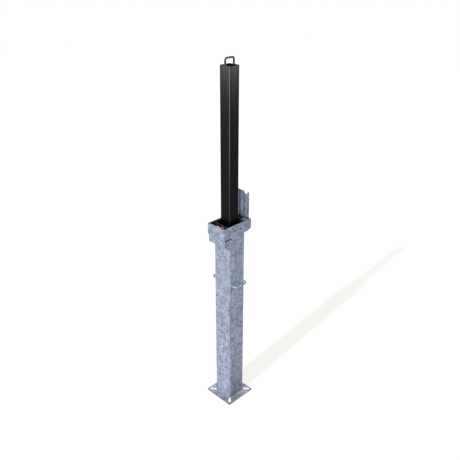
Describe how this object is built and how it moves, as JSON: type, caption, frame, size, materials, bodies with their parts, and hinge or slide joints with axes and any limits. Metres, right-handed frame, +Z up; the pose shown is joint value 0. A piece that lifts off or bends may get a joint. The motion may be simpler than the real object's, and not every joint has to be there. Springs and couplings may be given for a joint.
{
  "type": "telescopic bollard",
  "caption": "Square steel post that slides out of a ground socket with a hinged lid, a lock pocket, a bolt lock, anchor loops and a slotted base plate.",
  "frame": {"origin": "centre of the base plate's underside", "axes": "+Z up along the post, +X towards the lid's hinge, -X towards the lock, +Y to the left of +X"},
  "size_m": [0.21, 0.2, 2.08],
  "materials": {
    "galvanised_steel": "hot-dip galvanised, dull, with a fine spangle",
    "black_paint": "black powder coat, satin",
    "dark_nylon": "dark grey nylon, matte",
    "zinc_plate": "bright zinc plate",
    "yellow_zinc": "yellow zinc plate",
    "buffer_rubber": "black rubber, matte",
    "white_nylon": "white nylon",
    "lock_brass": "brass, satin",
    "red_plastic": "red moulded plastic"
  },
  "bodies": {
    "ground_socket": {"base_plate": "galvanised_steel", "socket_tube": "galvanised_steel", "anchor_loop_left": "galvanised_steel", "anchor_loop_right": "galvanised_steel", "collar_frame": "galvanised_steel", "hinge_pan": "galvanised_steel", "hinge_ledge": "galvanised_steel", "hinge_pin": "yellow_zinc", "lock_pocket": "galvanised_steel", "guide_ring": "galvanised_steel", "guide_bush": "dark_nylon", "bush_screws": "zinc_plate", "bottom_buffer": "buffer_rubber", "lock_housing": "zinc_plate", "housing_screws": "zinc_plate", "lid_buffer": "white_nylon"},
    "lock_core": {"lock_barrel": "lock_brass", "lock_cap": "red_plastic", "lock_cam": "zinc_plate", "cam_screw": "zinc_plate"},
    "bolt": {"lock_bolt": "zinc_plate"},
    "lid": {"lid_plate": "galvanised_steel", "lid_strap_left": "galvanised_steel", "lid_strap_right": "galvanised_steel"},
    "post": {"post_tube": "black_paint", "post_cap": "black_paint", "lifting_handle": "black_paint", "stop_plate": "black_paint", "foot_plate": "black_paint", "foot_shoe": "dark_nylon", "shoe_screws": "zinc_plate"}
  },
  "joints": [
    {"name": "post_slide", "type": "slide", "parent": "ground_socket", "child": "post", "axis": [0, 0, -1], "range_m": [0, 0.9]},
    {"name": "lid_hinge", "type": "hinge", "parent": "ground_socket", "child": "lid", "pos_m": [0.077, 0, 1.1849], "axis": [0, -1, 0], "range_deg": [0, 15]},
    {"name": "lock_turn", "type": "hinge", "parent": "ground_socket", "child": "lock_core", "pos_m": [-0.0725, -0.016, 1.172], "axis": [0, 0, 1], "range_deg": [0, 90]},
    {"name": "bolt_slide", "type": "slide", "parent": "ground_socket", "child": "bolt", "axis": [1, 0, 0], "range_m": [0, 0.00954]}
  ],
  "couplings": [
    {"joint": "lock_turn", "follows": "bolt_slide", "rad_per_m": 164.55}
  ]
}
